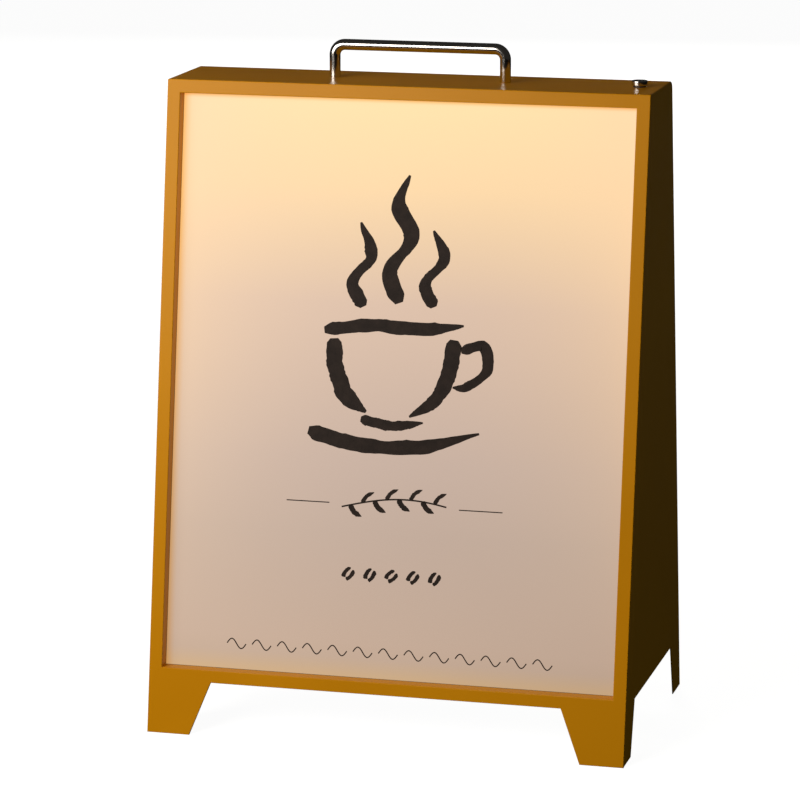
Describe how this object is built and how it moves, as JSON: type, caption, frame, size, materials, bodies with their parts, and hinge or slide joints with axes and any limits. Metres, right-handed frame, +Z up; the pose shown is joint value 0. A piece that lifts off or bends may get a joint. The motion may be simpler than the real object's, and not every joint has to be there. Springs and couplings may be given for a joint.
{
  "type": "a-frame light box sign",
  "caption": "Free-standing A-frame light box sign: folded steel housing on tongue feet, opal lit panel, rod carry handle and push button.",
  "frame": {"origin": "centre of the footprint on the floor, midway between the four feet", "axes": "+Z up, +X to the right as one faces the lit panel, -Y out of the lit panel"},
  "size_m": [0.42, 0.26, 0.591],
  "materials": {
    "housing_paint": "satin powder coat, ochre yellow",
    "opal_panel": "satin opal acrylic, lit from behind",
    "gasket_foam": "matt black closed-cell foam",
    "polished_steel": "polished stainless steel",
    "zinc_steel": "bright zinc plate",
    "spring_steel": "plain spring steel",
    "switch_black": "black nylon",
    "contact_brass": "plain brass",
    "bar_aluminium": "clear anodised",
    "board_white": "white solder mask",
    "light_chip": "phosphor yellow, lit",
    "frosted_lens": "frosted polycarbonate",
    "end_cap_grey": "light grey plastic",
    "case_black": "black moulded plastic",
    "cell_sleeve": "shrink sleeve",
    "board_green": "green solder mask",
    "board_part": "black epoxy",
    "cap_rubber": "black rubber",
    "wire_white": "ivory insulation",
    "wire_red": "red insulation",
    "clip_white": "white nylon"
  },
  "bodies": {
    "housing": {"front_frame": "housing_paint", "left_side_plate": "housing_paint", "right_side_plate": "housing_paint", "top_shell": "housing_paint", "base_plate": "housing_paint", "rear_cover": "housing_paint", "cover_screws": "zinc_steel", "cover_rivet_nuts": "zinc_steel", "diffuser_panel": "opal_panel", "panel_gasket": "gasket_foam", "panel_clips": "zinc_steel", "clip_studs": "zinc_steel", "clip_nuts": "zinc_steel", "carry_handle": "polished_steel", "handle_screws": "zinc_steel", "handle_washers": "zinc_steel", "button_spring": "spring_steel", "switch_body": "switch_black", "switch_washer": "zinc_steel", "switch_nut": "zinc_steel", "switch_terminals": "contact_brass", "light_bar_channel": "bar_aluminium", "light_bar_board": "board_white", "light_bar_chips": "light_chip", "light_bar_lens": "frosted_lens", "light_bar_end_caps": "end_cap_grey", "light_bar_nuts": "zinc_steel", "light_bar_screws": "zinc_steel", "battery_case": "case_black", "battery_lid": "case_black", "battery_cells": "cell_sleeve", "battery_strap": "zinc_steel", "strap_studs": "zinc_steel", "strap_nuts": "zinc_steel", "controller_board": "board_green", "board_parts": "board_part", "board_spacers": "contact_brass", "board_screws": "zinc_steel", "charge_socket": "switch_black", "charge_pin": "contact_brass", "charge_nut": "zinc_steel", "cap_anchor": "cap_rubber", "light_wire": "wire_white", "switch_wire": "wire_white", "battery_wire": "wire_red", "charge_wire": "wire_red", "wire_clips": "clip_white"},
    "button": {"button_cap": "polished_steel", "button_plunger": "spring_steel", "plunger_clip": "spring_steel"},
    "charge_cap": {"charge_cap": "cap_rubber"}
  },
  "joints": [
    {"name": "button_press", "type": "slide", "parent": "housing", "child": "button", "axis": [0, 0, -1], "range_m": [0, 0.0012], "stiffness_N_per_m": 1500, "springref_m": -0.0008, "deforming": ["button_spring"]},
    {"name": "charge_cap_hinge", "type": "hinge", "parent": "housing", "child": "charge_cap", "pos_m": [-0.15, 0.12024, 0.08741], "axis": [1, 0, 0], "range_deg": [0, 110]}
  ]
}
